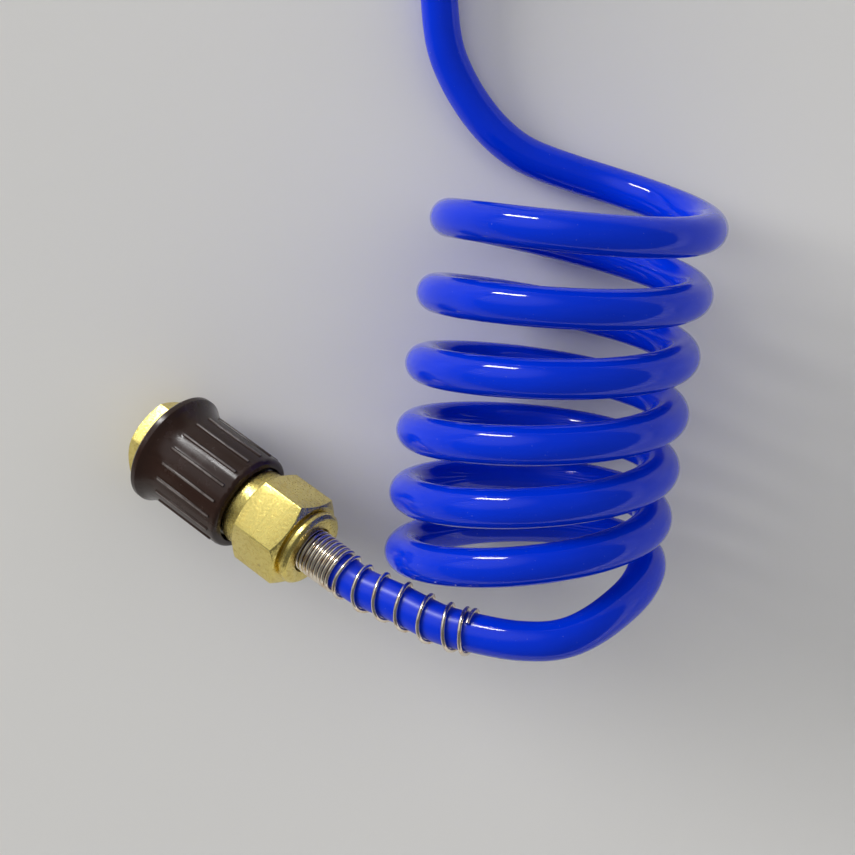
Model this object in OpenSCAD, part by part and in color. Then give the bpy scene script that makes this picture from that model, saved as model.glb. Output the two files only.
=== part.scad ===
// Coiled air hose with a quick coupling on its near end and a plug nipple on its far end.
// The coil lies on its side along Y, the coupling leans on the floor in front and to the left of it.
// Every fitting is drawn along its own +Z, from the outer face of its gland nut at 0, and then laid down.

/* [Hose] */
// Outside diameter of the hose
hose_d = 8; // [7:0.1:9]
// Bore of the hose
hose_bore_d = 5; // [4:0.1:5.5]

/* [Coil] */
// Diameter of the coil at the middle of the hose
coil_d = 52; // [46:1:60]
// Turns of the coil
coil_turns = 6.25; // [5.25:1:8.25]
// Pitch of the first turn
first_pitch = 10.9; // [9.5:0.1:14]
// How much wider each turn's pitch is than the last
pitch_step = 0.66; // [0:0.02:1.5]
// Sideways drift of the first turn
first_drift = 0.74; // [-1:0.02:2]
// How much further each turn drifts than the last
drift_step = 0.37; // [0:0.01:0.6]
// Slant of the first turn, seen from above
first_slant = -4.6; // [-8:0.1:8]
// How much more each turn is slanted than the last
slant_step = 2.56; // [0:0.02:4]

/* [Spring guard] */
// Wire diameter
guard_wire_d = 0.8; // [0.6:0.05:0.9]
// Room between the hose and the inside of the wire
guard_room = 0.45; // [0.4:0.05:0.6]
// Close turns at the nut
guard_close_turns = 6; // [4:1:9]
// Pitch of the close turns
guard_close_pitch = 1.4; // [1.35:0.05:1.6]
// Open turns along the hose
guard_open_turns = 7; // [4:1:8]
// Pitch of the first open turn
guard_first_pitch = 3.6; // [3:0.1:5]
// Pitch of the last open turn
guard_last_pitch = 5.5; // [4:0.1:6]
// Close turns at the free end
guard_end_turns = 1.5; // [1:0.5:2.5]
// Pitch of those turns
guard_end_pitch = 1.8; // [1.7:0.05:2.2]

/* [Gland nut] */
// Width across the flats of the nut
nut_af = 19; // [18:0.5:24]
// Length of the hexagon
nut_hex_len = 12.2; // [9:0.1:14]
// Diameter of the round collar on the hose side
nut_collar_d = 17.1; // [15:0.1:17.5]
// Length of that collar
nut_collar_len = 1.9; // [1.5:0.1:4]
// Length of the groove between the collar and the hexagon
nut_groove_len = 0.5; // [0.4:0.1:2]
// Depth of that groove
nut_groove_depth = 0.8; // [0.3:0.1:1]
// Diameter of the round neck on the coupling side
nut_neck_d = 17.6; // [16.5:0.1:18]
// Length of that neck
nut_neck_len = 3.4; // [3.3:0.1:5]
// Outside diameter of the thread inside the nut
gland_thread_d = 12.8; // [12.4:0.1:13.2]

/* [Hose end] */
// Length of hose inside the nut
hose_grip_len = 9; // [8.5:0.1:9.5]
// Bore of the hose stem
stem_bore_d = 3.2; // [2.4:0.1:3.6]
// Thickness of the stem's flange
stem_flange_len = 1.3; // [1:0.1:1.6]
// Thickness of the sealing washer behind the stem
gasket_len = 0.8; // [0.6:0.1:1.2]
// Wall of the ferrule
ferrule_wall = 1.5; // [1.2:0.1:1.5]

/* [Release sleeve] */
// Diameter of the sleeve's grip
sleeve_d = 22; // [21.6:0.1:26]
// Diameter of its flared rim
sleeve_rim_d = 25.8; // [24:0.1:30]
// Length of the sleeve
sleeve_len = 24; // [24:0.5:28]
// Length of the flare
sleeve_flare_len = 7; // [4:0.5:9]
// Travel of the sleeve towards the hose
sleeve_travel = 3; // [3:0.05:3.2]
// Ribs round the grip
rib_count = 18; // [10:1:24]
// Width of a rib
rib_w = 0.8; // [0.6:0.1:1.4]
// Height of a rib
rib_height = 0.35; // [0.2:0.05:0.5]

/* [Coupling body] */
// Outside diameter of the barrel
barrel_d = 14; // [13.8:0.1:14.2]
// Length of the barrel
barrel_len = 23; // [22.6:0.1:23.4]
// Diameter of the plug's nose
nose_d = 8.9; // [8.7:0.1:9]
// Diameter of the locking balls
ball_d = 3.5; // [3.3:0.1:3.6]
// Distance from the barrel's back to the balls
ball_from_back = 16.5; // [16.4:0.1:16.8]
// Air passage through the fittings
air_d = 4.4; // [3:0.1:5]

/* [Plugs] */
// Width across the flats of the inlet plug
inlet_af = 17; // [15:0.5:17.5]
// Length of its hexagon
inlet_hex_len = 4.7; // [4:0.1:12]
// Minor diameter of the thread in it
inlet_thread_d = 8.57; // [8:0.01:9]
// Depth of that thread
inlet_thread_len = 5.2; // [4:0.1:5.4]
// Width across the flats of the far plug
far_af = 14; // [13:0.5:17]
// Length of its hexagon
far_hex_len = 7; // [5:0.5:10]
// Length of its nose
far_nose_len = 13; // [12:0.5:20]

/* [Lay] */
// Angle at which the coupling leans on the floor
coupling_tilt = 30; // [26:1:34]
// Direction in which the coupling points, from +X
coupling_heading = 151; // [147:1:155]
// Turn of the gland nut's hexagon
nut_turn = 18; // [0:1:59]
// Turn of the inlet plug's hexagon
inlet_turn = 24; // [0:1:59]
// Turn of the sleeve's ribs
rib_turn = 16; // [0:1:19]

/* [Hidden] */
$fn = 64;

// Clearances
run_fit = 0.05;      // turning and sliding fits
seat_gap = 0.1;      // pieces that are clamped together
free_gap = 0.2;      // pieces that only keep clear of each other
swivel_gap = 0.3;    // faces of pieces that move past each other

// Edges and cuts
chamfer = 0.6;
hex_face_step = 0.2; // how far the turned end face of a hexagon lies inside its flats
lap = 0.5;           // how far joined shapes run into each other
over = 1;            // how far a cut runs past the face that it opens

// Facets of the swept tubes
hose_sides = 8;
wire_sides = 6;
coil_rings = 18;     // rings in each turn of the coil
wire_rings = 8;      // rings in each turn of a spring
span_rings = 2;      // rings in each span of a route

// Where things stand in the part's frame
coil_pos = [22.7, -102.3, 0];
coil_r = coil_d / 2;
hose_r = hose_d / 2;
coil_axis_z = coil_r + hose_r;

// Stations along a fitting, from the outer face of its nut
hex_start = nut_collar_len + nut_groove_len;
neck_start = hex_start + nut_hex_len;
nut_end = neck_start + nut_neck_len;
stem_face = hose_grip_len + free_gap;
gasket_start = stem_face + stem_flange_len;
adapter_start = gasket_start + gasket_len;
barrel_start = nut_end;
barrel_end = barrel_start + barrel_len;
sleeve_end = nut_end + sleeve_len;
ball_z = barrel_start + ball_from_back;

// Radii inside the nut
guard_mean_r = hose_r + guard_room + guard_wire_d / 2;
guard_seat_r = guard_mean_r + guard_wire_d / 2 + seat_gap;
guard_seat_len = 2.2;
guard_web = 2.1;     // wall between the guard's seat and the ferrule
ferrule_r = hose_r + seat_gap + ferrule_wall;
ferrule_start = guard_seat_len + guard_web;
gland_thread_r = gland_thread_d / 2;
gland_bore_r = gland_thread_r + seat_gap;

// The coupling's inside, from the back of the barrel
spigot_len = 2;
spigot_step = 1;
spigot_r = gland_thread_r - spigot_step;
chamber_len = 8.4;
chamber_end = barrel_start + chamber_len;
chamber_r = 5;
seat_len = 0.8;
seat_r = 3.6;
nose_r = nose_d / 2;
nose_bore_r = nose_r + run_fit;
nose_room = 1.2;     // from the valve's seat to the tip of the plug's nose
nose_tip = chamber_end + seat_len + nose_room;
barrel_r = barrel_d / 2;

// The balls rest against the land of the lock sleeve, and move out into its recess
ball_count = 4;
ball_r = ball_d / 2;
land_r = barrel_r + run_fit;
land_cover = 0.2;    // how far the land reaches past the middle of the balls
land_edge = ball_z + land_cover;
ball_gap = 0.3;
ball_rest_r = land_r - ball_r - ball_gap;
ball_free_r = nose_bore_r + ball_r + run_fit;
recess_room = 0.25;
recess_r = ball_free_r + ball_r + recess_room;
recess_extra = 0.8;  // length of the recess over the sleeve's travel
recess_len = sleeve_travel + recess_extra;
catch_step = 0.6;
catch_r = recess_r + catch_step;
lock_wall = 0.7;
lock_r = catch_r + lock_wall;
lock_bore_r = lock_r + run_fit;
lock_inset = 1;
lock_end = sleeve_end - lock_inset;
ring_start = land_edge + recess_len + seat_gap;
ring_len = 1;
ring_groove_depth = 0.3;
ring_groove_r = barrel_r - ring_groove_depth;

// The spring behind the lock sleeve has room for its pressed turns and the sleeve's travel
sleeve_spring_wire_r = 0.5;
sleeve_spring_turns = 4;
spring_slack = 1;
pressed_spring_len = (sleeve_spring_turns + 1) * 2 * sleeve_spring_wire_r;
lock_start = barrel_start + pressed_spring_len + sleeve_travel + spring_slack;

// O-ring in the barrel that seals on the plug's nose
nose_seal_wire_r = 0.87;
nose_seal_r = nose_r + seat_gap + nose_seal_wire_r;
nose_seal_inset = 2.2;
nose_seal_z = nose_tip + nose_seal_inset;

// The valve, which the plug's nose holds off its seat
poppet_len = 1.4;
poppet_back = 3.4;   // from the back of the poppet to the end of its chamber
poppet_start = chamber_end - poppet_back;
poppet_gap = 0.3;
poppet_r = chamber_r - poppet_gap;
crown_r = seat_r - run_fit;
crown_wall = 1.2;
valve_seal_wire_r = 0.6;
valve_spring_wire_r = 0.25;
valve_spring_r = 3;
valve_spring_turns = 2;

// The inlet plug's shoulder stops at the barrel, and its hexagon clears the sleeve and the barrel
shoulder_step = 1.7;
shoulder_start = barrel_end + swivel_gap;
inlet_hex_start = max(sleeve_end, shoulder_start + lap) + swivel_gap;
inlet_end = inlet_hex_start + inlet_hex_len;

// Blunt edge of the sleeve's rim
rim_edge = 0.5;

// The fittings' places: the coupling's rim and the far nut's flat touch the floor
coupling_dir = [
  cos(coupling_tilt) * cos(coupling_heading),
  cos(coupling_tilt) * sin(coupling_heading),
  -sin(coupling_tilt),
];
coupling_pos = [
  -44.6, 4.5,
  sleeve_rim_d / 2 * cos(coupling_tilt) + (sleeve_end - rim_edge) * sin(coupling_tilt),
];
far_dir = [0, 1, 0];
coil_start = coil_point(0);
coil_end = coil_point(coil_turns);
far_pos = [coil_end.x - 29.85, coil_end.y + 97.5, nut_af / 2];

// Route of the hose from the coupling over the coil's near end, and from the coil's end along the floor
lead_route = [
  [-26, -3.5, 44], [-18, -6, 49], [-10.5, -7, 52.5], [-2, -7.5, 55.5], [6, -7, 56],
  [13, -5, 53], [20.5, -1.5, 46], [24.5, 1, 38.5],
];
tail_lay = [
  [-12.5, 5, 0], [-21.5, 13.5, 0], [-28, 25.5, 0], [-29.85, 38.5, 0.1],
  [-29.85, 48.5, 0.8], [-29.85, 58.5, 2.2], [-29.85, 67.5, 3.9], [-29.85, 75.5, 5],
];
tail_route = [for (p = tail_lay) [coil_end.x + p.x, coil_end.y + p.y, hose_r + p.z]];
route_joint_gap = 0.1;
entry_run = 6;       // straight run of the hose out of a fitting, past one diameter

// Curves
function unit(v) = v / norm(v);

// Smooth curve through the points, from the second to the last but one
function smooth_step(a, b, c, d, t) =
  0.5 * (2 * b + (c - a) * t + (2 * a - 5 * b + 4 * c - d) * t * t + (3 * b - a - 3 * c + d) * t * t * t);
function smooth(p, steps) = [
  for (i = [1 : len(p) - 3]) for (j = [0 : steps - 1])
    smooth_step(p[i - 1], p[i], p[i + 1], p[i + 2], j / steps),
  p[len(p) - 2],
];

// The hose's place after u turns: the turns drift and slant a little more, the further they are along
function gained(first, step, u) = first * u + step / 2 * u * u;
function coil_point(u) =
  let (slant = first_slant + slant_step * u, side = coil_r * cos(360 * u))
  [
    gained(first_drift, drift_step, u) + side * cos(slant),
    gained(first_pitch, pitch_step, u) - side * sin(slant),
    coil_axis_z - coil_r * sin(360 * u),
  ];
function coil_way(u) = unit(coil_point(u + 0.001) - coil_point(u - 0.001));

// Rings of a tube, square to the way it runs. ref is a direction that it never runs along.
function ways(p, first, last) = [
  for (i = [0 : len(p) - 1])
    i == 0 ? first : i == len(p) - 1 ? last : unit(p[i + 1] - p[i - 1]),
];
function ring(c, way, r, sides, ref) =
  let (side = unit(cross(way, ref)), up = cross(side, way))
  [for (k = [0 : sides - 1]) c + r * (cos(360 * k / sides) * side + sin(360 * k / sides) * up)];
function rings(p, w, r, sides, ref) = [for (i = [0 : len(p) - 1]) each ring(p[i], w[i], r, sides, ref)];
function wall(n, m, base, out) = [
  for (i = [0 : n - 2]) for (k = [0 : m - 1])
    let (
      a = base + i * m + k, b = base + i * m + (k + 1) % m,
      c = b + m, d = a + m
    )
    each out ? [[a, b, c], [a, c, d]] : [[a, c, b], [a, d, c]],
];

// A solid wire along p
module wire(p, r, ref) {
  n = len(p);
  m = wire_sides;
  last = (n - 1) * m;
  w = ways(p, unit(p[1] - p[0]), unit(p[n - 1] - p[n - 2]));
  polyhedron(
    rings(p, w, r, m, ref),
    concat(
      wall(n, m, 0, true),
      [for (k = [1 : m - 2]) [0, k + 1, k]],
      [for (k = [1 : m - 2]) [last, last + k, last + k + 1]]
    )
  );
}

// A hose along p: its corners lie on the outside diameter and its flats inside on the bore
module hose(p, first, last, ref) {
  n = len(p);
  m = hose_sides;
  w = ways(p, first, last);
  inner = n * m;
  end = (n - 1) * m;
  polyhedron(
    concat(
      rings(p, w, hose_r, m, ref),
      rings(p, w, hose_bore_d / 2 / cos(180 / m), m, ref)
    ),
    concat(
      wall(n, m, 0, true),
      wall(n, m, inner, false),
      [for (k = [0 : m - 1]) let (j = (k + 1) % m) each [[j, k, inner + k], [j, inner + k, inner + j]]],
      [
        for (k = [0 : m - 1])
          let (a = end + k, b = end + (k + 1) % m)
          each [[a, b, inner + b], [a, inner + b, inner + a]],
      ]
    )
  );
}

// The hose runs straight out of a fitting. The first of these points only guides the curve.
function reversed(p) = [for (i = [len(p) - 1 : -1 : 0]) p[i]];
function entry(pos, dir) = [
  for (w = [2 * hose_grip_len, hose_grip_len, 0, -hose_d, -hose_d - entry_run]) pos + w * dir,
];

// Points of the three stretches of hose
coil_steps = round(coil_turns * coil_rings);
coil_points = [for (i = [0 : coil_steps]) coil_point(coil_turns * i / coil_steps)];
lead_points = smooth(
  concat(
    entry(coupling_pos, coupling_dir),
    lead_route,
    [coil_start - route_joint_gap * coil_way(0), coil_point(0.05)]
  ), span_rings
);
tail_points = smooth(
  concat(
    [for (s = [-hose_d, route_joint_gap]) coil_end + s * coil_way(coil_turns)],
    tail_route,
    reversed(entry(far_pos, far_dir))
  ), span_rings
);

// A route measured from the face of its nut, by its length
function lengths(p) = [
  for (i = 0, s = 0; i < len(p); s = s + (i + 1 < len(p) ? norm(p[i + 1] - p[i]) : 0), i = i + 1) s,
];
function track(p) = let (s = lengths(p)) [for (k = [0 : 2]) [for (i = [0 : len(p) - 1]) [s[i], p[i][k]]]];
function on_track(t, s) = [for (k = [0 : 2]) lookup(s, t[k])];

// The guard's wire winds round the hose. Its first turns and its last are close.
function guard_along(v) =
  let (
    close = min(v, guard_close_turns),
    open = max(0, min(v - guard_close_turns, guard_open_turns)),
    end = max(0, v - guard_close_turns - guard_open_turns)
  )
  guard_close_pitch * close
    + gained(guard_first_pitch, (guard_last_pitch - guard_first_pitch) / guard_open_turns, open)
    + guard_end_pitch * end;
function guard_points(p, ref) =
  let (
    t = track(p),
    inside = guard_seat_len - guard_wire_d / 2 - free_gap,
    turns = guard_close_turns + guard_open_turns + guard_end_turns
  )
  [
    for (i = [0 : round(turns * wire_rings)])
      let (
        v = i / wire_rings,
        s = hose_grip_len - inside + guard_along(v),
        way = unit(on_track(t, s + 0.5) - on_track(t, s - 0.5)),
        side = unit(cross(way, ref)),
        up = cross(side, way)
      )
      on_track(t, s) + guard_mean_r * (cos(360 * v) * side - sin(360 * v) * up),
  ];
lead_guard_points = guard_points(smooth(
  concat(
    entry(coupling_pos, coupling_dir),
    lead_route,
    [coil_start]
  ), 6
), [0, 0, 1]);
far_guard_points = guard_points(smooth(
  concat(
    entry(far_pos, far_dir),
    reversed(tail_route),
    [coil_end]
  ), 6
), [0, 0, 1]);

// Compression springs inside the coupling
function spring_points(r, from, to, turns, per_turn) = [
  for (i = [0 : turns * per_turn])
    [r * cos(360 * i / per_turn), r * sin(360 * i / per_turn), from + (to - from) * i / turns / per_turn],
];
sleeve_spring_rings = 12;
sleeve_spring_points = spring_points(
  (land_r + lock_r) / 2, barrel_start + sleeve_spring_wire_r + free_gap,
  lock_start - sleeve_spring_wire_r - free_gap, sleeve_spring_turns, sleeve_spring_rings
);
valve_spring_points = spring_points(
  valve_spring_r, barrel_start + spigot_len + valve_spring_wire_r + seat_gap,
  poppet_start - valve_spring_wire_r - seat_gap, valve_spring_turns, wire_rings
);

// Least gap between turns that are at least apart points away from each other
function least_gap(p, apart, d) =
  min([for (i = [0 : len(p) - 1 - apart]) for (j = [i + apart : len(p) - 1]) norm(p[i] - p[j])]) - d;
echo(coil_gap = least_gap(coil_points, coil_rings / 2, hose_d));
echo(guard_gap = least_gap(lead_guard_points, wire_rings / 2, guard_wire_d));
echo(far_guard_gap = least_gap(far_guard_points, wire_rings / 2, guard_wire_d));
echo(sleeve_spring_gap = least_gap(sleeve_spring_points, sleeve_spring_rings / 2, 2 * sleeve_spring_wire_r));
echo(valve_spring_gap = least_gap(valve_spring_points, wire_rings / 2, 2 * valve_spring_wire_r));
echo(lead_length = lengths(lead_points)[len(lead_points) - 1]);
echo(coil_length = lengths(coil_points)[len(coil_points) - 1]);
echo(tail_length = lengths(tail_points)[len(tail_points) - 1]);

// Places
module laid() { translate(coil_pos) children(); }
module at_coupling() {
  laid() translate(coupling_pos) rotate([0, 90 + coupling_tilt, coupling_heading]) children();
}
module at_far_end() { laid() translate(far_pos) rotate([0, 90, 90]) children(); }

// Shapes that repeat
module turned(outline) { rotate_extrude() polygon(outline); }
module bore(r, from, to) { translate([0, 0, from]) cylinder(r = r, h = to - from); }
module seal_ring(r, wire_r) { rotate_extrude() translate([r, 0]) circle(r = wire_r, $fn = 32); }

// A hexagon from one station to the next, its corners turned off at both ends, a flat facing down
module hexagon(af, from, to) {
  corner = af / 2 / cos(30);
  face_r = af / 2 - hex_face_step;
  drop = (corner - face_r) * tan(30);
  intersection() {
    translate([0, 0, from]) linear_extrude(to - from) rotate(30) circle(r = corner, $fn = 6);
    turned([
      [0, from], [face_r, from], [corner, from + drop],
      [corner, to - drop], [face_r, to], [0, to],
    ]);
  }
}

module nut() {
  collar_r = nut_collar_d / 2;
  neck_r = nut_neck_d / 2;
  cone_start = ferrule_start - 2 * seat_gap;
  difference() {
    union() {
      turned([
        [0, 0], [collar_r - chamfer, 0], [collar_r, chamfer],
        [collar_r, nut_collar_len - chamfer / 2], [collar_r - chamfer / 2, nut_collar_len],
        [collar_r - nut_groove_depth, nut_collar_len], [collar_r - nut_groove_depth, hex_start + chamfer],
        [0, hex_start + chamfer],
      ]);
      hexagon(nut_af, hex_start, neck_start);
      turned([
        [0, neck_start - chamfer], [neck_r, neck_start - chamfer], [neck_r, nut_end - chamfer / 2],
        [neck_r - chamfer / 2, nut_end], [0, nut_end],
      ]);
    }
    bore(guard_seat_r, -over, guard_seat_len);
    bore(hose_r + free_gap, -over, nut_end);
    turned([
      [0, cone_start], [hose_r + free_gap, cone_start],
      [ferrule_r + seat_gap, cone_start + ferrule_wall], [ferrule_r + seat_gap, nut_end], [0, nut_end],
    ]);
    bore(gland_bore_r, stem_face - seat_gap, nut_end + over);
  }
}

// The ferrule is split, so that the nut can draw it in on the hose
module split_ferrule() {
  bore_r = hose_r + seat_gap;
  edge = 0.2;
  slit = 0.8;
  difference() {
    turned([
      [bore_r, ferrule_start], [bore_r + edge, ferrule_start],
      [ferrule_r, ferrule_start + ferrule_wall - edge],
      [ferrule_r, hose_grip_len - free_gap], [bore_r, hose_grip_len - free_gap],
    ]);
    translate([0, -slit / 2, ferrule_start - over]) cube([ferrule_r + over, slit, hose_grip_len]);
  }
}

module barbed_stem() {
  tip = 0.5;
  barb_r = hose_bore_d / 2 - run_fit;
  barb_height = 0.35;
  root_r = barb_r - barb_height;
  root_len = 1;
  barbs = 3;
  pitch = (stem_face - tip - root_len) / barbs;
  turned(concat(
    [[stem_bore_d / 2, tip], [root_r, tip]],
    [
      for (i = [0 : barbs - 1])
        let (from = tip + pitch * i)
        each [[barb_r, from + 0.7 * pitch], [barb_r, from + 0.8 * pitch], [root_r, from + pitch]],
    ],
    [
      [root_r, stem_face], [gland_thread_r - free_gap, stem_face],
      [gland_thread_r - free_gap, gasket_start], [stem_bore_d / 2, gasket_start],
    ]
  ));
}

module washer() {
  turned([
    [air_d / 2, gasket_start], [gland_thread_r - free_gap, gasket_start],
    [gland_thread_r - free_gap, adapter_start], [air_d / 2, adapter_start],
  ]);
}

// Nose of a plug along +Z from its shoulder to its tip, with the groove that the balls lock in
module plug_nose(shoulder, groove, tip) {
  groove_r = ball_rest_r - ball_r - seat_gap;
  flat = 0.7;
  flank = flat + nose_r - groove_r;
  lead_in = 1.5;
  way = sign(tip - shoulder);
  turned([
    [0, shoulder], [nose_r, shoulder], [nose_r, groove - way * flank], [groove_r, groove - way * flat],
    [groove_r, groove + way * flat], [nose_r, groove + way * flank],
    [nose_r, tip - way * lead_in], [nose_r - chamfer, tip], [0, tip],
  ]);
}

// A locking ball, at rest in the groove of the plug's nose
function ball_turn(n) = 360 / ball_count * (n - 0.5);
module ball(n) {
  at_coupling() rotate(ball_turn(n)) translate([ball_rest_r, 0, ball_z]) sphere(r = ball_r);
}

// Sub-parts
module hose_coil() {
  color("royalblue") laid() hose(coil_points, coil_way(0), coil_way(coil_turns), [0, 1, 0]);
}

module hose_lead() {
  color("royalblue") laid() hose(lead_points, -coupling_dir, coil_way(0), [0, 1, 0]);
}

module hose_tail() {
  color("royalblue") laid() hose(tail_points, coil_way(coil_turns), far_dir, [0, 0, 1]);
}

module spring_guard() {
  color("silver") laid() wire(lead_guard_points, guard_wire_d / 2, coupling_dir);
}

module far_spring_guard() {
  color("silver") laid() wire(far_guard_points, guard_wire_d / 2, far_dir);
}

module gland_nut() { color("gold") at_coupling() rotate(nut_turn) nut(); }
module ferrule() { color("ivory") at_coupling() split_ferrule(); }
module hose_stem() { color("goldenrod") at_coupling() barbed_stem(); }
module stem_gasket() { color("dimgray") at_coupling() washer(); }

module rear_adapter() {
  spigot_end = barrel_start + spigot_len;
  color("goldenrod") at_coupling() turned([
    [air_d / 2, adapter_start], [gland_thread_r - chamfer, adapter_start],
    [gland_thread_r, adapter_start + chamfer], [gland_thread_r, barrel_start],
    [spigot_r, barrel_start], [spigot_r, spigot_end], [air_d / 2, spigot_end],
  ]);
}

module coupling_barrel() {
  seal_half = nose_seal_wire_r + seat_gap;
  color("goldenrod") at_coupling() difference() {
    bore(barrel_r, barrel_start, barrel_end);
    bore(spigot_r + run_fit, barrel_start - over, barrel_start + spigot_len);
    bore(chamber_r, barrel_start, chamber_end);
    bore(seat_r, barrel_start, barrel_end);
    bore(nose_bore_r, chamber_end + seat_len, barrel_end + over);
    turned([
      [0, barrel_end - chamfer], [nose_bore_r, barrel_end - chamfer],
      [nose_bore_r + chamfer + over, barrel_end + over], [0, barrel_end + over],
    ]);
    bore(nose_seal_r + nose_seal_wire_r + seat_gap, nose_seal_z - seal_half, nose_seal_z + seal_half);
    difference() {
      bore(barrel_r + over, ring_start - seat_gap, ring_start + ring_len + seat_gap);
      bore(ring_groove_r, ring_start - over, ring_start + ring_len + over);
    }
    for (n = [1 : ball_count]) rotate(ball_turn(n)) translate([0, 0, ball_z]) rotate([0, 90, 0])
      cylinder(r = ball_r + run_fit, h = barrel_r + over);
  }
}

// The grip flares to its rim. Thin round-backed ribs run along it up to the flare.
module sleeve_grip() {
  r = sleeve_d / 2;
  rim_r = sleeve_rim_d / 2;
  edge = 1.2;
  lip = 1.6;
  mouth = 0.6;
  back_room = 0.3;
  rib_inset = 2.2;
  rib_run = 0.7;
  flare_start = sleeve_end - sleeve_flare_len;
  tail_r = lock_r - back_room;
  flare_r = (pow(sleeve_flare_len - lip, 2) + pow(rim_r - r, 2)) / 2 / (rim_r - r);
  flare = asin((sleeve_flare_len - lip) / flare_r);
  color("#2a2422") at_coupling() {
    turned(concat(
      [[tail_r, nut_end], [r - edge, nut_end]],
      [for (a = [15 : 15 : 90]) [r - edge + edge * sin(a), nut_end + edge - edge * cos(a)]],
      [for (a = [0 : flare / 6 : flare + 0.01]) [r + flare_r * (1 - cos(a)), flare_start + flare_r * sin(a)]],
      [[rim_r, sleeve_end - rim_edge], [rim_r - rim_edge, sleeve_end], [lock_bore_r + mouth, sleeve_end]],
      [[lock_bore_r, lock_end], [lock_bore_r, lock_start], [tail_r, lock_start]]
    ));
    for (i = [0 : rib_count - 1]) rotate(360 * i / rib_count + rib_turn)
      translate([r + rib_height - rib_w / 2, 0, 0]) bore(rib_w / 2, nut_end + rib_inset, flare_start + rib_run);
  }
}

module lock_sleeve() {
  color("goldenrod") at_coupling() turned([
    [land_r, lock_start], [lock_r, lock_start], [lock_r, lock_end], [catch_r, lock_end],
    [catch_r, land_edge + recess_len], [recess_r, land_edge + recess_len],
    [recess_r, land_edge], [land_r, land_edge],
  ]);
}

module sleeve_spring() {
  color("silver") at_coupling() wire(sleeve_spring_points, sleeve_spring_wire_r, [0, 0, 1]);
}

module retaining_ring() {
  slit = 3;
  color("silver") at_coupling() difference() {
    bore(catch_r - free_gap, ring_start, ring_start + ring_len);
    bore(ring_groove_r + seat_gap, ring_start - over, ring_start + ring_len + over);
    translate([0, -slit / 2, ring_start - over]) cube([catch_r, slit, ring_len + 2 * over]);
  }
}

module lock_ball_1() { color("silver") ball(1); }
module lock_ball_2() { color("silver") ball(2); }
module lock_ball_3() { color("silver") ball(3); }
module lock_ball_4() { color("silver") ball(4); }

module valve_poppet() {
  back_end = poppet_start + poppet_len;
  crown_end = nose_tip - free_gap;
  guide_r = 2;
  guide_len = 1.2;
  slot_w = 2;
  slot_start = back_end + 2 * valve_seal_wire_r + free_gap;
  color("ivory") at_coupling() difference() {
    union() {
      bore(guide_r, poppet_start - guide_len, back_end);
      bore(poppet_r, poppet_start, back_end);
      bore(crown_r, poppet_start, crown_end);
    }
    bore(crown_r - crown_wall, back_end, crown_end + over);
    for (turn = [0 : 120 : 240]) rotate(turn)
      translate([0, -slot_w / 2, slot_start]) cube([crown_r + over, slot_w, crown_end - slot_start + over]);
  }
}

module valve_seal() {
  color("dimgray") at_coupling() translate([0, 0, poppet_start + poppet_len + valve_seal_wire_r])
    seal_ring(crown_r + run_fit + valve_seal_wire_r, valve_seal_wire_r);
}

module valve_spring() {
  color("silver") at_coupling() wire(valve_spring_points, valve_spring_wire_r, [0, 0, 1]);
}

module plug_seal() {
  color("dimgray") at_coupling() translate([0, 0, nose_seal_z])
    seal_ring(nose_seal_r, nose_seal_wire_r);
}

module inlet_plug() {
  color("gold") at_coupling() difference() {
    union() {
      plug_nose(shoulder_start + lap, ball_z, nose_tip);
      bore(nose_r + shoulder_step, shoulder_start, inlet_hex_start + lap);
      rotate(inlet_turn) hexagon(inlet_af, inlet_hex_start, inlet_end);
    }
    bore(air_d / 2, nose_tip - over, inlet_end + over);
    bore(inlet_thread_d / 2, inlet_end - inlet_thread_len, inlet_end + over);
  }
}

module far_nut() { color("gold") at_far_end() nut(); }
module far_ferrule() { color("ivory") at_far_end() split_ferrule(); }
module far_stem() { color("goldenrod") at_far_end() barbed_stem(); }
module far_gasket() { color("dimgray") at_far_end() washer(); }

module far_plug() {
  hex = nut_end + seat_gap;
  hex_end = hex + far_hex_len;
  tip = hex_end + far_nose_len;
  color("gold") at_far_end() difference() {
    union() {
      bore(gland_thread_r, adapter_start, hex + lap);
      hexagon(far_af, hex, hex_end);
      plug_nose(hex_end - lap, tip - (ball_z - nose_tip), tip);
    }
    bore(air_d / 2, adapter_start - over, tip + over);
  }
}

hose_coil();
hose_lead();
hose_tail();
spring_guard();
far_spring_guard();
gland_nut();
ferrule();
hose_stem();
stem_gasket();
rear_adapter();
coupling_barrel();
sleeve_grip();
lock_sleeve();
sleeve_spring();
retaining_ring();
lock_ball_1();
lock_ball_2();
lock_ball_3();
lock_ball_4();
valve_poppet();
valve_seal();
valve_spring();
plug_seal();
inlet_plug();
far_nut();
far_ferrule();
far_stem();
far_gasket();
far_plug();
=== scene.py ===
"""Looks of a coiled air hose: blue hose, wire guards, brass fittings and a ribbed release sleeve."""

import math

import bpy
from bpy.props import FloatProperty, FloatVectorProperty, IntProperty, PointerProperty
from mathutils import Matrix, Vector
from mathutils.kdtree import KDTree


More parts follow.
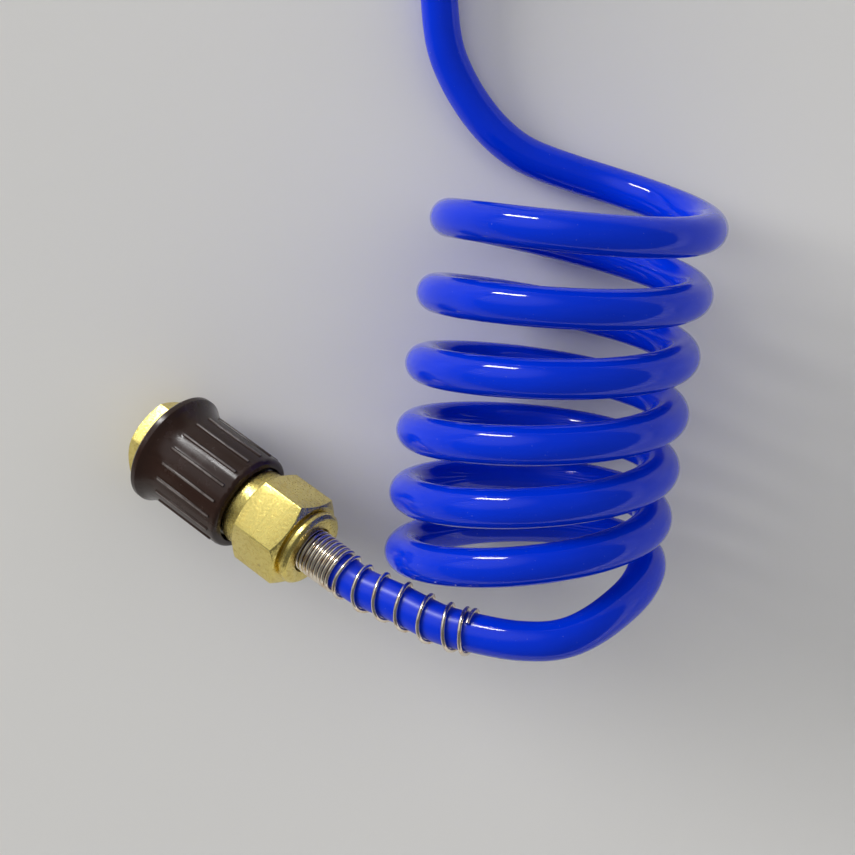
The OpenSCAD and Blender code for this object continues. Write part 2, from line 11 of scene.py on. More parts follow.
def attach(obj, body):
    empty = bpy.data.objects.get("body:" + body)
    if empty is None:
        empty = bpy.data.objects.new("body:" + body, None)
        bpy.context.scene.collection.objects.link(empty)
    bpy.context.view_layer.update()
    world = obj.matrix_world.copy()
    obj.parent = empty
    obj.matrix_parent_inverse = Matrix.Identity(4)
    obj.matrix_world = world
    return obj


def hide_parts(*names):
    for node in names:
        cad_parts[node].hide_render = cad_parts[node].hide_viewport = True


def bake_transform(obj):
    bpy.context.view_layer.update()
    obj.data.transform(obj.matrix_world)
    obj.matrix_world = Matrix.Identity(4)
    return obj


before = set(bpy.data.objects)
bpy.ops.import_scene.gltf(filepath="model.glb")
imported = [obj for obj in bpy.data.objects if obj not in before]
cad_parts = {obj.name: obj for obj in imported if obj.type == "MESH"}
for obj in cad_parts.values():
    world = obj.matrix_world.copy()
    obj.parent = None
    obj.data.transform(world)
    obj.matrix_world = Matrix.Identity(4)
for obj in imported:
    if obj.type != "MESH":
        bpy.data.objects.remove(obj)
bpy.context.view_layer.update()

bl_info = {
    "name": "Coiled Air Hose",
    "version": (1, 0, 0),
    "blender": (4, 5, 0),
    "location": "View3D > Sidebar > Air Hose",
    "description": "Dresses the solids of a coiled air hose with its coupling and nipple",
    "category": "Object",
}

MM = 0.001
MM_PER_METRE = 1 / MM
UP = Vector((0, 0, 1))
ROOT = "hose_and_coupling"
SLEEVE = "release_sleeve"
INLET = "inlet"
VALVE = "valve"
FAR = "far_end"

# Where the coil's near end stands on the floor, in millimetres
COIL_PLACE = Vector((22.7, -102.3, 0))
HOSE_R = 4.0
COIL_R = 26.0
COIL_TURNS = 6.25
FIRST_PITCH = 10.9
PITCH_STEP = 0.66
FIRST_DRIFT = 0.74
DRIFT_STEP = 0.37
FIRST_SLANT = math.radians(-4.6)
SLANT_STEP = math.radians(2.56)


def gained(first, step, turns):
    """Sum over the turns of something that grows by a step each turn."""
    return first * turns + step / 2 * turns * turns


def coil_point(turns):
    """Middle of the hose after so many turns of the coil."""
    slant = FIRST_SLANT + SLANT_STEP * turns
    side = COIL_R * math.cos(2 * math.pi * turns)
    return Vector((
        gained(FIRST_DRIFT, DRIFT_STEP, turns) + side * math.cos(slant),
        gained(FIRST_PITCH, PITCH_STEP, turns) - side * math.sin(slant),
        COIL_R + HOSE_R - COIL_R * math.sin(2 * math.pi * turns),
    ))


COIL_END = coil_point(COIL_TURNS)

# The two fittings: outer face of the nut, and the way from the hose to the mouth
TILT = math.radians(30)
HEADING = math.radians(151)

# The coupling lies on the sleeve's rim: the rim's radius, and its distance from the nut's face
RIM_R = 12.9
RIM_AT = 41.5
COUPLING_WAY = Vector(
    (math.cos(TILT) * math.cos(HEADING), math.cos(TILT) * math.sin(HEADING), -math.sin(TILT))
)
COUPLING_FACE = Vector((-44.6, 4.5, RIM_R * math.cos(TILT) + RIM_AT * math.sin(TILT)))
FAR_WAY = Vector((0, 1, 0))
FAR_FACE = COIL_END + Vector((-29.85, 97.5, 5.5))
HOSE_GRIP = 9.0
INLET_END = 47.0

# Places on a fitting's axis that the hose runs through straight, from inside the nut outwards
STRAIGHT_RUN = (2 * HOSE_GRIP, HOSE_GRIP, 0, -8, -14)

# Radius of the sleeve's grip below its ribs, and where the ribs end on the flare
GRIP_R = 11.0
RIBS_END = 35.7

# Routes of the hose, from the coupling to the coil and from the coil's end to the far fitting
LEAD_ROUTE = (
    (-26, -3.5, 44), (-18, -6, 49), (-10.5, -7, 52.5), (-2, -7.5, 55.5), (6, -7, 56),
    (13, -5, 53), (20.5, -1.5, 46), (24.5, 1, 38.5),
)
TAIL_LAY = (
    (-12.5, 5, 0), (-21.5, 13.5, 0), (-28, 25.5, 0), (-29.85, 38.5, 0.1),
    (-29.85, 48.5, 0.8), (-29.85, 58.5, 2.2), (-29.85, 67.5, 3.9), (-29.85, 75.5, 5),
)

# Steps of the curve between two points of a route
ROUTE_STEPS = 14

# Run of the coil that gives the routes their direction: in turns at its start, in millimetres at its end
COIL_START_RUN = 0.05
COIL_END_RUN = 8

# Name of the attribute that marks a piece's rounded edges
EDGE_MARK = "rounded_edge"

# Pitch of each open turn of a spring guard, from the nut outwards
GUARD_PITCHES = (1.9, 4.9, 5.2, 5.5, 5.5, 5.5, 3.4, 1.1)

# Where a guard stops rubbing the hose, along the fitting's axis, and where the rubbing starts to fade
RUBBED_END = -43.0
RUBBED_FADE = -38.0

# Sides of the round tubes
HOSE_SIDES = 40
GUARD_SIDES = 12
SPRING_SIDES = 10
THREAD_SIDES = 6

# Stage: the camera's places in millimetres from the coil's near end, and the lamps' in metres
CAMERA_EYE = Vector((-20.4, 109.5, 401.7))
CAMERA_TARGET = Vector((-20.4, 30.5, 30))
LAMP_TARGET = Vector((0.01, -0.06, 0.02))
LAMP_DISTANCE = 0.8


def coil_way(turns):
    """The way the hose runs after so many turns of the coil."""
    bit = 0.001
    return (coil_point(turns + bit) - coil_point(turns - bit)).normalized()


def smooth(points):
    """Smooth curve from the second to the last but one of the points."""
    made = []
    for a, b, c, d in zip(points, points[1:], points[2:], points[3:]):
        for k in range(ROUTE_STEPS):
            t = k / ROUTE_STEPS
            made.append(0.5 * (
                2 * b + (c - a) * t + (2 * a - 5 * b + 4 * c - d) * t * t
                + (3 * b - a - 3 * c + d) * t * t * t
            ))
    made.append(points[-2].copy())
    return made


def entry(face, way):
    """Straight run of the hose out of a fitting."""
    return [face + w * way for w in STRAIGHT_RUN]


def lead_points():
    """The hose from the coupling to the coil."""
    route = [Vector(p) for p in LEAD_ROUTE]
    into_coil = [coil_point(0), coil_point(COIL_START_RUN)]
    return smooth(entry(COUPLING_FACE, COUPLING_WAY) + route + into_coil)


def tail_points():
    """The hose from the coil to the far fitting."""
    route = [COIL_END + Vector(p) for p in TAIL_LAY]
    out_of_coil = [COIL_END - COIL_END_RUN * coil_way(COIL_TURNS), COIL_END]
    return smooth(out_of_coil + route + entry(FAR_FACE, FAR_WAY)[::-1])


def place_of(point):
    """A point in millimetres from the coil's near end, in metres in the part's frame."""
    return (point + COIL_PLACE) * MM


def placed(points):
    """Several such points, in metres in the part's frame."""
    return [place_of(p) for p in points]


def around(way, turns):
    """Direction square to a way, after so many turns round it."""
    side = way.cross(UP).normalized()
    up = side.cross(way)
    turn = 2 * math.pi * turns
    return math.cos(turn) * side - math.sin(turn) * up


def coupling_helix(r, start, pitch, turns, per_turn):
    """Path of a wire or a ridge wound round the coupling's axis."""
    points = []
    for i in range(int(turns * per_turn) + 1):
        along = start + pitch * i / per_turn
        points.append(COUPLING_FACE + along * COUPLING_WAY + r * around(COUPLING_WAY, i / per_turn))
    return placed(points)


class Track:
    """A route that can be read by its length."""

    def __init__(self, points):
        self.points = points
        self.at = [0.0]
        for a, b in zip(points, points[1:]):
            self.at.append(self.at[-1] + (b - a).length)

    def point(self, s):
        """Point after so much of its length."""
        least_step = 1e-9
        s = min(max(s, 0.0), self.at[-1])
        for i, end in enumerate(self.at[1:]):
            if s <= end:
                part = (s - self.at[i]) / max(end - self.at[i], least_step)
                return self.points[i].lerp(self.points[i + 1], part)
        return self.points[-1].copy()

    def way(self, s):
        """The way it runs there."""
        bit = 0.4
        return (self.point(s + bit) - self.point(s - bit)).normalized()


# Materials


class Value:
    """A number that varies over a surface: expressions on it become Math nodes."""

    def __init__(self, shade, socket):
        self.shade = shade
        self.socket = socket

    def _math(self, operation, first, second):
        return self.shade.node("ShaderNodeMath", {"operation": operation}, [first, second])[0]

    def __add__(self, other):
        return self._math("ADD", self, other)

    __radd__ = __add__

    def __sub__(self, other):
        return self._math("SUBTRACT", self, other)

    def __rsub__(self, other):
        return self._math("SUBTRACT", other, self)

    def __mul__(self, other):
        return self._math("MULTIPLY", self, other)

    __rmul__ = __mul__


class Shade:
    """A material and its nodes."""

    # Places of the sockets that are found by number
    OBJECT_OUT = 3
    NUMBER_OUT = 1
    FACTOR_OUT = 2
    COLOUR_OUT = 2
    FIRST_COLOUR = 6
    SECOND_COLOUR = 7

    def __init__(self, name):
        self.material = bpy.data.materials.new(name)
        self.material.use_nodes = True
        self.tree = self.material.node_tree
        self.shader = next(n for n in self.tree.nodes if n.type == "BSDF_PRINCIPLED")

    def node(self, kind, settings=None, sockets=()):
        """Adds a node and returns its outputs."""
        made = self.tree.nodes.new(kind)
        for key, value in (settings or {}).items():
            setattr(made, key, value)
        items = sockets.items() if isinstance(sockets, dict) else enumerate(sockets)
        for key, value in items:
            self.plug(made.inputs[key], value)
        return [Value(self, o) for o in made.outputs]

    def plug(self, socket, value):
        """Links a varying value to a socket, or sets a plain one on it."""
        if isinstance(value, Value):
            self.tree.links.new(value.socket, socket)
        else:
            socket.default_value = value

    def set(self, **sockets):
        """Sets the shader's sockets by name, with _ for a space."""
        for key, value in sockets.items():
            self.plug(self.shader.inputs[key.replace("_", " ")], value)
        return self

    def place(self):
        """Object coordinates."""
        return self.node("ShaderNodeTexCoord")[self.OBJECT_OUT]

    def noise(self, scale, detail=4.0, rough=0.55):
        """Cloudy number from 0 to 1, at so many lumps per metre."""
        return self.node(
            "ShaderNodeTexNoise", None,
            {"Vector": self.place(), "Scale": scale, "Detail": detail, "Roughness": rough},
        )[0]

    def between(self, value, low, high, bottom=0.0, top=1.0):
        """Smooth step from bottom to top as a value goes from low to high."""
        return self.node(
            "ShaderNodeMapRange", {"interpolation_type": "SMOOTHSTEP"},
            {"Value": value, "From Min": low, "From Max": high, "To Min": bottom, "To Max": top},
        )[0]

    def mix(self, part, first, second):
        """Colour between two colours."""
        return self.node(
            "ShaderNodeMix", {"data_type": "RGBA"},
            {0: part, self.FIRST_COLOUR: self._rgba(first), self.SECOND_COLOUR: self._rgba(second)},
        )[self.COLOUR_OUT]

    @staticmethod
    def _rgba(colour):
        return colour if isinstance(colour, Value) else (*colour, 1)

    def vector(self, operation, *sockets):
        """Outputs of a Vector Math node: a vector, and a number."""
        return self.node("ShaderNodeVectorMath", {"operation": operation}, sockets)

    def along(self, way, start):
        """Distance along a direction from a point, in millimetres."""
        place = self.vector("SUBTRACT", self.place(), start)[0]
        return self.vector("DOT_PRODUCT", place, way)[self.NUMBER_OUT] * MM_PER_METRE

    def round(self, way, start):
        """Distance from an axis, in millimetres."""
        place = self.vector("SUBTRACT", self.place(), start)[0]
        across = self.vector("CROSS_PRODUCT", place, way)[0]
        return self.vector("LENGTH", across)[self.NUMBER_OUT] * MM_PER_METRE

    def edge(self):
        """1 on the rounded edges of a piece, and 0 elsewhere."""
        return self.node("ShaderNodeAttribute", {"attribute_name": EDGE_MARK})[self.FACTOR_OUT]

    def bump(self, height, distance, strength):
        """Raises the surface by a height, at so many metres for a height of 1."""
        self.set(Normal=self.node(
            "ShaderNodeBump", None, {"Strength": strength, "Distance": distance, "Height": height}
        )[0])
        return self


class Sky(Shade):
    """The studio's own light, from all round."""

    def __init__(self, name):
        world = bpy.data.worlds.new(name)
        bpy.context.scene.world = world
        world.use_nodes = True
        self.tree = world.node_tree
        self.shader = self.tree.nodes["Background"]


def toned(colour, strength):
    """A colour made weaker or stronger as a whole."""
    return tuple(min(1, c * strength) for c in colour)


def tinted(colour, tint):
    """A colour with each of its channels made weaker or stronger."""
    return tuple(c * f for c, f in zip(colour, tint))


def hose_finish(name, looks, fitting=None):
    """Glossy soft plastic with faint clouds, scuffs and dust, rubbed dull under a guard's wire."""
    shade = Shade(name)
    deep = toned(looks.hose_color, 0.9)
    pale = toned(looks.hose_color, 1.1)
    cloud = shade.noise(90, 3)
    skin = shade.noise(900, 4, 0.5)
    scuff = shade.between(shade.noise(260, 5, 0.65), 0.6, 0.78)
    speck = shade.between(shade.noise(2300, 2, 0.4), 0.745, 0.78)
    colour = shade.mix(cloud, deep, pale)
    clean = 0.05
    rubbed = 0.3
    rough = clean
    if fitting is not None:
        way, face = fitting
        rough = shade.between(shade.along(way, place_of(face)), RUBBED_END, RUBBED_FADE, clean, rubbed)
    shade.set(
        Base_Color=shade.mix(speck * 0.35, colour, (0.3, 0.36, 0.7)),
        Roughness=scuff * 0.16 + skin * 0.05 + rough,
        IOR=1.38,
    )
    return shade.bump(skin + scuff * 0.4, 0.000015, 0.3).material


def brass_finish(name, colour, way, start, grain):
    """Machined brass: mottled speckle, tool rings, tarnish, small dents and polished edges."""
    shade = Shade(name)
    bright = tuple(colour)
    dull = tinted(bright, (0.66, 0.56, 0.42))
    brown = tinted(bright, (0.4, 0.26, 0.14))
    speckle = shade.noise(1500, 5, 0.7)
    fleck = shade.between(speckle, 0.46, 0.62)
    tarnish = shade.between(shade.noise(190, 5), 0.48, 0.8)
    spot = shade.between(shade.noise(620, 3), 0.66, 0.76)
    rings = shade.node(
        "ShaderNodeTexNoise", {"noise_dimensions": "1D"},
        {"W": shade.along(way, start), "Scale": 9.0, "Detail": 2.0},
    )[0]
    edge = shade.edge()
    worn = (1 - edge * 0.85) * (tarnish * 0.3 + fleck * 0.4)
    tone = shade.mix(worn, bright, dull)
    shade.set(
        Base_Color=shade.mix((1 - edge) * spot * 0.45, tone, brown),
        Metallic=1.0,
        Roughness=0.22 + worn * 0.3 - edge * 0.04,
    )
    return shade.bump(speckle * grain + rings * 0.4 - spot * 0.5, 0.00012, 0.5).material


def grip_finish(looks):
    """Moulded brown-black plastic, polished by hands on its edges, with fine scratches; its lighter rib
    crests are a painted highlight, partly polish from hands.
    """
    rib_low = GRIP_R + 0.23
    rib_high = GRIP_R + 0.34
    rib_fade = 0.5
    shade = Shade("sleeve_plastic")
    dark = tuple(looks.grip_color)
    worn = tuple(c * 1.5 + 0.006 for c in dark)
    grain = shade.noise(3200, 3, 0.5)
    handled = shade.between(shade.noise(130, 4), 0.45, 0.75)
    scratch = shade.between(shade.noise(700, 6, 0.75), 0.62, 0.7)
    edge = shade.edge()
    face = place_of(COUPLING_FACE)
    # The band along the rib crests that gets the painted highlight
    back = shade.between(shade.round(COUPLING_WAY, face), rib_low, rib_high)
    crest_sheen = back * shade.between(shade.along(COUPLING_WAY, face), RIBS_END, RIBS_END - rib_fade)
    # Lighter rib crests: a painted highlight along each rib, partly polish from hands, broken up by
    # noise
    rubbed = crest_sheen * shade.between(shade.noise(480, 3), 0.3, 0.55, 0.45, 1.0)
    colour = shade.mix(handled * 0.4 + scratch * 0.2 + edge * 0.3, dark, worn)
    # The crest colour (0.15, 0.13, 0.12) is that painted highlight, partly wear
    shade.set(
        Base_Color=shade.mix(rubbed, colour, (0.15, 0.13, 0.12)),
        Roughness=0.2 + handled * 0.1 + grain * 0.06 + scratch * 0.1 - edge * 0.04,
        IOR=1.4,
    )
    return shade.bump(grain - scratch * 0.6, 0.00003, 0.4).material


def wire_finish(looks):
    """Bright plated spring wire with drawing marks and warm stains."""
    shade = Shade("plated_wire")
    clean = tuple(looks.wire_color)
    stained = tinted(clean, (0.7, 0.5, 0.3))
    drawn = shade.noise(4200, 4, 0.6)
    stain = shade.between(shade.noise(420, 4), 0.46, 0.72)
    shade.set(
        Base_Color=shade.mix(stain * 0.7, clean, stained),
        Metallic=1.0,
        Roughness=0.14 + drawn * 0.14,
    )
    return shade.bump(drawn, 0.00002, 0.4).material


def plain_finish(name, colour, rough, metal, scale):
    """Inner pieces: a base colour with fine clouds, moulding or turning marks."""
    shade = Shade(name)
    lump = shade.noise(scale, 4)
    fine = shade.noise(scale * 8, 3)
    dark = toned(colour, 0.75)
    shade.set(
        Base_Color=shade.mix(lump, dark, colour),
        Metallic=metal,
        Roughness=rough + fine * 0.15,
    )
    return shade.bump(fine, 0.00002, 0.4).material


# Modelling


def clear_selection():
    """Leaves edit mode and deselects everything."""
    if bpy.context.object is not None and bpy.context.object.mode != "OBJECT":
        bpy.ops.object.mode_set(mode="OBJECT")
    bpy.ops.object.select_all(action="DESELECT")


def added(name, data):
    """New object in the scene, with its data."""
    piece = bpy.data.objects.new(name, data)
    bpy.context.collection.objects.link(piece)
    return piece


def pick(piece):
    """Selects one object and makes it the active one."""
    clear_selection()
    piece.select_set(True)
    bpy.context.view_layer.objects.active = piece


def tube(name, points, radius, sides):
    """Round tube along the points, with flat closed ends, as a mesh."""
    merge_gap = 1e-6
    smooth_angle = math.radians(40)
    line = bpy.data.curves.new(name, "CURVE")
    line.dimensions = "3D"
    line.twist_mode = "MINIMUM"
    line.bevel_depth = radius
    line.bevel_resolution = sides // 2 - 2
    line.use_fill_caps = True
    spline = line.splines.new("POLY")
    spline.points.add(len(points) - 1)
    for point, place in zip(spline.points, points):
        point.co = (*place, 1)
    pick(added(name, line))
    bpy.ops.object.convert(target="MESH")
    bpy.ops.object.mode_set(mode="EDIT")
    bpy.ops.mesh.select_all(action="SELECT")
    bpy.ops.mesh.remove_doubles(threshold=merge_gap)
    bpy.ops.mesh.normals_make_consistent(inside=False)
    bpy.ops.object.mode_set(mode="OBJECT")
    bpy.ops.object.shade_smooth_by_angle(angle=smooth_angle)
    return bpy.context.object


def wear(piece, material):
    """Gives a piece its one material."""
    piece.data.materials.clear()
    piece.data.materials.append(material)
    return piece


def rounded(node, width):
    """Copy of a turned or moulded node, with its edges rounded and marked."""
    merge_gap = 2e-6
    flat_angle = math.radians(0.5)
    edge_angle = math.radians(28)
    smooth_angle = math.radians(30)
    piece = added("rounded_" + node.name, node.data.copy())
    pick(piece)
    bpy.ops.object.mode_set(mode="EDIT")
    bpy.ops.mesh.select_all(action="SELECT")
    bpy.ops.mesh.remove_doubles(threshold=merge_gap)
    bpy.ops.mesh.dissolve_limited(angle_limit=flat_angle)
    bpy.ops.object.mode_set(mode="OBJECT")
    edges = piece.modifiers.new("rounded_edges", "BEVEL")
    edges.width = width
    edges.segments = 2
    edges.limit_method = "ANGLE"
    edges.angle_limit = edge_angle
    edges.use_clamp_overlap = True
    edges.material = 1
    piece.data.materials.append(None)
    bpy.ops.object.modifier_apply(modifier=edges.name)
    mark = piece.data.attributes.new(EDGE_MARK, "FLOAT", "FACE")
    for face in piece.data.polygons:
        mark.data[face.index].value = face.material_index
        face.material_index = 0
    bpy.ops.object.shade_smooth_by_angle(angle=smooth_angle)
    return piece


def eased(share, ease=0.05):
    """A share from 0 to 1 that starts and ends gently and is even between."""
    if share > 0.5:
        return 1 - eased(1 - share, ease)
    if share > ease:
        return (share - ease / 2) / (1 - ease)
    return share * share / (2 * ease * (1 - ease))


def blend_along(piece, path):
    """Works out each vertex's eased share of the path's length, applies the object's place to its mesh,
    and puts the vertices back as they were.
    """
    tree = KDTree(len(path))
    for i, point in enumerate(path):
        tree.insert(point, i)
    tree.balance()
    rest = [vertex.co.copy() for vertex in piece.data.vertices]
    for vertex in piece.data.vertices:
        share = eased(tree.find(vertex.co)[1] / (len(path) - 1))
        vertex.co = (0, 0.5 - math.sin(math.asin(1 - 2 * share) / 3), 0)
    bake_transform(piece)
    for vertex, place in zip(piece.data.vertices, rest):
        vertex.co = place


def guard(name, track, looks):
    """Spring wire wound round the hose: close turns out of the nut's face, then open ones."""
    per_turn = 28
    last_turn = 0.92
    pitches = [looks.close_pitch / MM] * looks.close_turns + list(GUARD_PITCHES)
    wire_r = looks.wire_diameter / MM / 2
    wound_r = HOSE_R + wire_r + looks.wire_room / MM
    points = []
    at = HOSE_GRIP - looks.seat_depth / MM
    for i in range(int((len(pitches) - 1 + last_turn) * per_turn) + 1):
        out = around(track.way(at), i / per_turn + looks.wire_start)
        points.append(track.point(at) + wound_r * out)
        at += pitches[i // per_turn] / per_turn
    return tube(name, placed(points), looks.wire_diameter / 2, GUARD_SIDES)


def lamp(name, kind, way, along):
    """A lamp that shines on the part from one way, with its width along another."""
    made = added(name, bpy.data.lights.new(name, kind))
    back = Vector(way).normalized()
    up = back.cross(Vector(along)).normalized()
    turn = Matrix((up.cross(back), up, back)).transposed()
    made.matrix_world = Matrix.Translation(LAMP_TARGET + LAMP_DISTANCE * back) @ turn.to_4x4()
    return made


class AirHoseLooks(bpy.types.PropertyGroup):
    """Sizes and colours of the dressed hose."""

    hose_color: FloatVectorProperty(
        name="Hose colour", description="Blue of the hose", subtype="COLOR",
        default=(0.0, 0.03, 0.64), min=0, max=1,
    )
    brass_color: FloatVectorProperty(
        name="Brass colour", description="Bright brass of the nuts and plugs", subtype="COLOR",
        default=(0.86, 0.71, 0.22), min=0, max=1,
    )
    grip_color: FloatVectorProperty(
        name="Sleeve colour", description="Plastic of the release sleeve", subtype="COLOR",
        default=(0.025, 0.011, 0.007), min=0, max=1,
    )
    wire_color: FloatVectorProperty(
        name="Wire colour", description="Plated wire of the spring guards", subtype="COLOR",
        default=(0.86, 0.78, 0.66), min=0, max=1,
    )
    wire_diameter: FloatProperty(
        name="Guard wire", description="Thickness of the spring guards' wire",
        default=0.00092, min=0.0005, max=0.0012, unit="LENGTH", precision=5,
    )
    wire_room: FloatProperty(
        name="Guard room", description="Room between the hose and the wire wound on it",
        default=0.0001, min=0, max=0.0006, unit="LENGTH", precision=5,
    )
    wire_start: FloatProperty(
        name="Guard start", description="Where round the hose the wire starts, in turns",
        default=0.75, min=0, max=1,
    )
    seat_depth: FloatProperty(
        name="Guard seat", description="How far a guard sits inside its nut",
        default=0.0015, min=0, max=0.002, unit="LENGTH", precision=5,
    )
    close_turns: IntProperty(
        name="Close turns", description="Turns of a guard that lie close at the nut",
        default=9, min=4, max=14,
    )
    close_pitch: FloatProperty(
        name="Close pitch", description="Pitch of those turns",
        default=0.00105, min=0.0008, max=0.002, unit="LENGTH", precision=5,
    )
    edge_width: FloatProperty(
        name="Edges", description="Width of the rounded edges of nuts, plugs and the sleeve",
        default=0.0002, min=0, max=0.0005, unit="LENGTH", precision=5,
    )
    lens: FloatProperty(
        name="Lens", description="Focal length of the camera on a 36 mm sensor, in millimetres",
        default=76.76, min=20, max=200,
    )


class AIRHOSE_OT_stage(bpy.types.Operator):
    """Camera, floor and studio light"""

    bl_idname = "air_hose.stage"
    bl_label = "Stage"

    def execute(self, context):
        self.camera(context.scene.air_hose)
        self.floor()
        self.sky()
        self.lamps()
        context.scene.view_settings.view_transform = "Standard"
        return {"FINISHED"}

    @staticmethod
    def camera(looks):
        eye, target = placed([CAMERA_EYE, CAMERA_TARGET])
        look = (target - eye).normalized()
        right = look.cross(Vector((0, 1, 0))).normalized()
        up = right.cross(look)
        lens = bpy.data.cameras.new("camera")
        lens.lens = looks.lens
        lens.sensor_width = 36
        lens.clip_start = 0.01
        camera = added("camera", lens)
        camera.matrix_world = Matrix.Translation(eye) @ Matrix((right, up, -look)).transposed().to_4x4()
        bpy.context.scene.camera = camera

    @staticmethod
    def floor():
        """Round floor, and a backdrop that sweeps up from its rim."""
        reach = 5
        sweep = 1.6
        steps = 16
        level = (0, 0, -0.0003)
        shade = Shade("pale_floor")
        cloud = shade.noise(3, 3)
        shade.set(Base_Color=shade.mix(cloud, (0.78, 0.765, 0.73), (0.81, 0.795, 0.76)), Roughness=0.9)
        for name, fill in (("floor", "NGON"), ("backdrop", "NOTHING")):
            clear_selection()
            bpy.ops.mesh.primitive_circle_add(vertices=128, radius=reach, fill_type=fill, location=level)
            piece = bpy.context.object
            piece.name = name
            bpy.ops.object.transform_apply(location=True, rotation=True, scale=True)
            wear(piece, shade.material)
        bpy.ops.object.mode_set(mode="EDIT")
        for k in range(steps):
            low = math.pi / 2 * k / steps
            high = math.pi / 2 * (k + 1) / steps
            widen = (reach + sweep * math.sin(high)) / (reach + sweep * math.sin(low))
            bpy.ops.mesh.extrude_edges_move()
            bpy.ops.transform.translate(value=(0, 0, sweep * (math.cos(low) - math.cos(high))))
            bpy.ops.transform.resize(value=(widen, widen, 1), center_override=(0, 0, 0))
        bpy.ops.object.mode_set(mode="OBJECT")
        bpy.ops.object.shade_smooth()
        piece.visible_shadow = False

    @staticmethod
    def sky():
        """Even light from all round, with a brighter patch at the back on the left."""
        sky = Sky("studio")
        glow_way = Vector((-0.6, 0.6, 0.55)).normalized()
        towards = sky.vector("DOT_PRODUCT", sky.place(), glow_way)[sky.NUMBER_OUT]
        glow = sky.between(towards, 0.78, 0.99)
        sky.set(Color=(0.94, 0.96, 1.0, 1), Strength=0.15 + glow * 0.75)

    @staticmethod
    def lamps():
        """A strip for the highlights, and fills that only light the surfaces."""
        strip = lamp("strip_lamp", "AREA", (-0.455, 0.86, 0.23), (0.22, 0.03, 0.27))
        strip.visible_diffuse = False
        strip.data.shape = "RECTANGLE"
        strip.data.size = 0.3
        strip.data.size_y = 0.09
        strip.data.energy = 3.75
        for name, way, strength, spread in (
            ("left_fill", (-0.85, 0.45, 0.28), 2.35, 30),
            ("right_fill", (0.75, 0.3, 0.55), 0.5, 60),
            ("front_fill", (0.0, -0.75, 0.65), 0.2, 60),
            ("top_fill", (0.0, 0.2, 0.98), 0.4, 60),
        ):
            fill = lamp(name, "SUN", way, (0, 1, 0))
            fill.visible_glossy = False
            fill.data.energy = strength
            fill.data.angle = math.radians(spread)


class AIRHOSE_OT_hose(bpy.types.Operator):
    """The hose: its lead, its coil and its tail"""

    bl_idname = "air_hose.hose"
    bl_label = "Hose"

    def execute(self, context):
        looks = context.scene.air_hose
        per_turn = 96
        coil = [coil_point(i / per_turn) for i in range(int(COIL_TURNS * per_turn) + 1)]
        for name, points, node, fitting in (
            ("lead_hose", lead_points(), "hose_lead", (COUPLING_WAY, COUPLING_FACE)),
            ("coiled_hose", coil, "hose_coil", None),
            ("tail_hose", tail_points(), "hose_tail", (FAR_WAY, FAR_FACE)),
        ):
            finish = hose_finish("blue_" + name, looks, fitting)
            piece = wear(tube(name, placed(points), HOSE_R * MM, HOSE_SIDES), finish)
            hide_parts(node)
            self.declare(piece, placed(points))
        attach(bpy.data.objects["lead_hose"], ROOT)
        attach(bpy.data.objects["tail_hose"], FAR)
        blend_along(bpy.data.objects["coiled_hose"], placed(coil))
        return {"FINISHED"}

    @staticmethod
    def declare(piece, path):
        """Adds up the length of a stretch of hose, and does nothing more with it."""
        sum((b - a).length for a, b in zip(path, path[1:]))


class AIRHOSE_OT_guards(bpy.types.Operator):
    """The two wire guards on the hose"""

    bl_idname = "air_hose.guards"
    bl_label = "Spring guards"

    def execute(self, context):
        looks = context.scene.air_hose
        finish = wire_finish(looks)
        for name, points, node, body in (
            ("lead_guard", lead_points(), "spring_guard", ROOT),
            ("tail_guard", tail_points()[::-1], "far_spring_guard", FAR),
        ):
            piece = wear(guard(name, Track(points), looks), finish)
            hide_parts(node)
            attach(piece, body)
        return {"FINISHED"}


class AIRHOSE_OT_inner_springs(bpy.types.Operator):
    """The sleeve's spring and the valve's spring inside the coupling"""

    bl_idname = "air_hose.inner_springs"
    bl_label = "Inner springs"

    def execute(self, context):
        per_turn = 24
        finish = plain_finish("inner_spring_wire", (0.6, 0.58, 0.55), rough=0.2, metal=1.0, scale=900)
        for name, wire_r, r, start, end, turns, node, body in (
            ("sleeve_coil_spring", 0.5, 8.325, 18.7, 26.3, 4, "sleeve_spring", SLEEVE),
            ("valve_coil_spring", 0.25, 3.0, 20.35, 22.65, 2, "valve_spring", VALVE),
        ):
            path = coupling_helix(r, start, (end - start) / turns, turns, per_turn)
            piece = wear(tube(name, path, wire_r * MM, SPRING_SIDES), finish)
            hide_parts(node)
            blend_along(piece, path)
        return {"FINISHED"}


class AIRHOSE_OT_fittings(bpy.types.Operator):
    """The nuts, the plugs and the release sleeve, with rounded edges, and the thread in the inlet"""

    bl_idname = "air_hose.fittings"
    bl_label = "Fittings"

    def execute(self, context):
        looks = context.scene.air_hose
        near_face, far_face = placed([COUPLING_FACE, FAR_FACE])
        brass = tuple(looks.brass_color)
        coupling_brass = brass_finish("coupling_brass", brass, COUPLING_WAY, near_face, 1.0)
        nipple_brass = brass_finish("nipple_brass", brass, FAR_WAY, far_face, 1.0)
        for name, finish, slot, body in (
            ("gland_nut", coupling_brass, "brass", ROOT),
            ("inlet_plug", coupling_brass, "brass", INLET),
            ("far_nut", nipple_brass, "brass", FAR),
            ("far_plug", nipple_brass, "brass", FAR),
            ("sleeve_grip", grip_finish(looks), "grip", SLEEVE),
        ):
            piece = wear(rounded(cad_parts[name], looks.edge_width), finish)
            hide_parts(name)
            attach(piece, body)
        thread = wear(self.thread("inlet_thread"), coupling_brass)
        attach(thread, INLET)
        return {"FINISHED"}

    @staticmethod
    def thread(name):
        """Ridges of the pipe thread inside the inlet plug."""
        per_turn = 32
        pitch = 0.907
        bore_r = 4.285
        ridge_r = 0.3
        start = INLET_END - 5.0
        end = INLET_END - 0.7
        path = coupling_helix(bore_r, start, pitch, (end - start) / pitch, per_turn)
        return tube(name, path, ridge_r * MM, THREAD_SIDES)


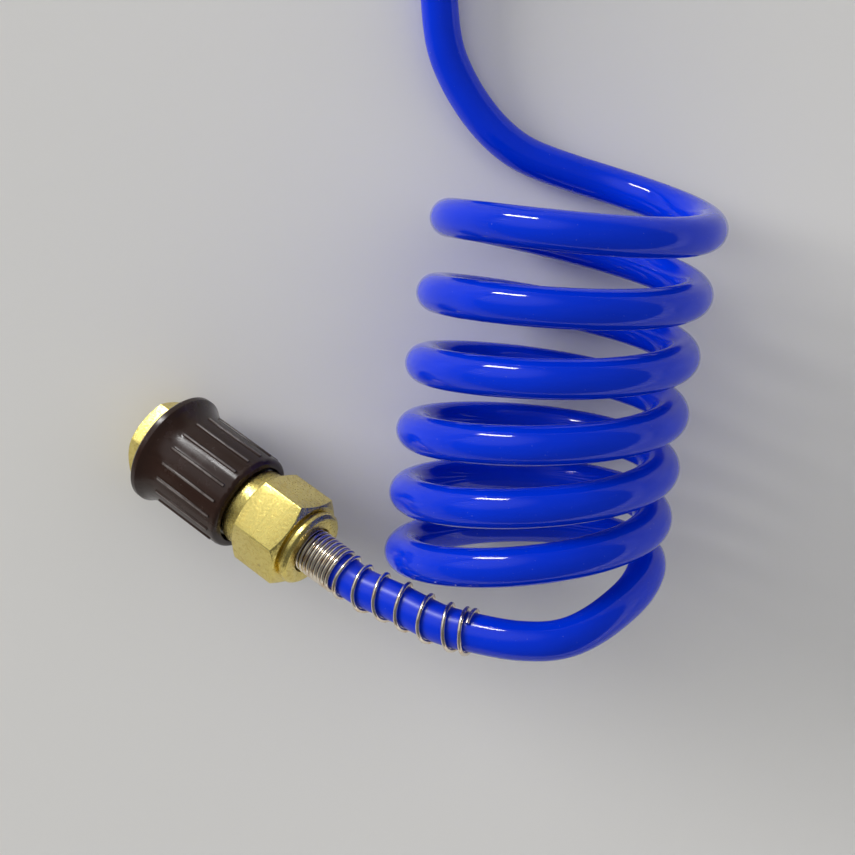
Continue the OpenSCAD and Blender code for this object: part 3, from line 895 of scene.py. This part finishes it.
class AIRHOSE_OT_inner_pieces(bpy.types.Operator):
    """Finishes of the pieces inside the coupling and the nipple"""

    bl_idname = "air_hose.inner_pieces"
    bl_label = "Inner pieces"

    def execute(self, context):
        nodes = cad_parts
        near_face = place_of(COUPLING_FACE)
        dull_brass = toned(context.scene.air_hose.brass_color, 0.85)
        finishes = (
            (
                brass_finish("turned_brass", dull_brass, COUPLING_WAY, near_face, 0.4),
                ("hose_stem", "rear_adapter", "coupling_barrel", "lock_sleeve", "far_stem"),
            ),
            (
                plain_finish("ball_steel", (0.62, 0.62, 0.64), rough=0.08, metal=1.0, scale=700),
                ("lock_ball_1", "lock_ball_2", "lock_ball_3", "lock_ball_4", "retaining_ring"),
            ),
            (
                plain_finish("natural_nylon", (0.78, 0.74, 0.62), rough=0.4, metal=0.0, scale=400),
                ("ferrule", "far_ferrule", "valve_poppet"),
            ),
            (
                plain_finish("seal_rubber", (0.025, 0.025, 0.026), rough=0.55, metal=0.0, scale=500),
                ("stem_gasket", "far_gasket", "valve_seal", "plug_seal"),
            ),
        )
        for finish, names in finishes:
            for name in names:
                wear(nodes[name], finish)
        return {"FINISHED"}


class AIRHOSE_PT_panel(bpy.types.Panel):
    """Sizes, colours and the steps that dress the hose"""

    bl_idname = "AIRHOSE_PT_panel"
    bl_label = "Air Hose"
    bl_space_type = "VIEW_3D"
    bl_region_type = "UI"
    bl_category = "Air Hose"

    def draw(self, context):
        looks = context.scene.air_hose
        for key in AirHoseLooks.__annotations__:
            self.layout.prop(looks, key)
        for step in STEPS:
            self.layout.operator(step.bl_idname)


STEPS = (
    AIRHOSE_OT_stage,
    AIRHOSE_OT_fittings,
    AIRHOSE_OT_guards,
    AIRHOSE_OT_hose,
    AIRHOSE_OT_inner_springs,
    AIRHOSE_OT_inner_pieces,
)
CLASSES = (AirHoseLooks, *STEPS, AIRHOSE_PT_panel)


def register():
    for cls in CLASSES:
        bpy.utils.register_class(cls)
    bpy.types.Scene.air_hose = PointerProperty(type=AirHoseLooks)


def unregister():
    del bpy.types.Scene.air_hose
    for cls in reversed(CLASSES):
        bpy.utils.unregister_class(cls)


def main():
    register()
    bpy.ops.air_hose.stage()
    bpy.ops.air_hose.fittings()
    bpy.ops.air_hose.guards()
    bpy.ops.air_hose.hose()
    bpy.ops.air_hose.inner_springs()
    bpy.ops.air_hose.inner_pieces()


if __name__ == "__main__":
    main()
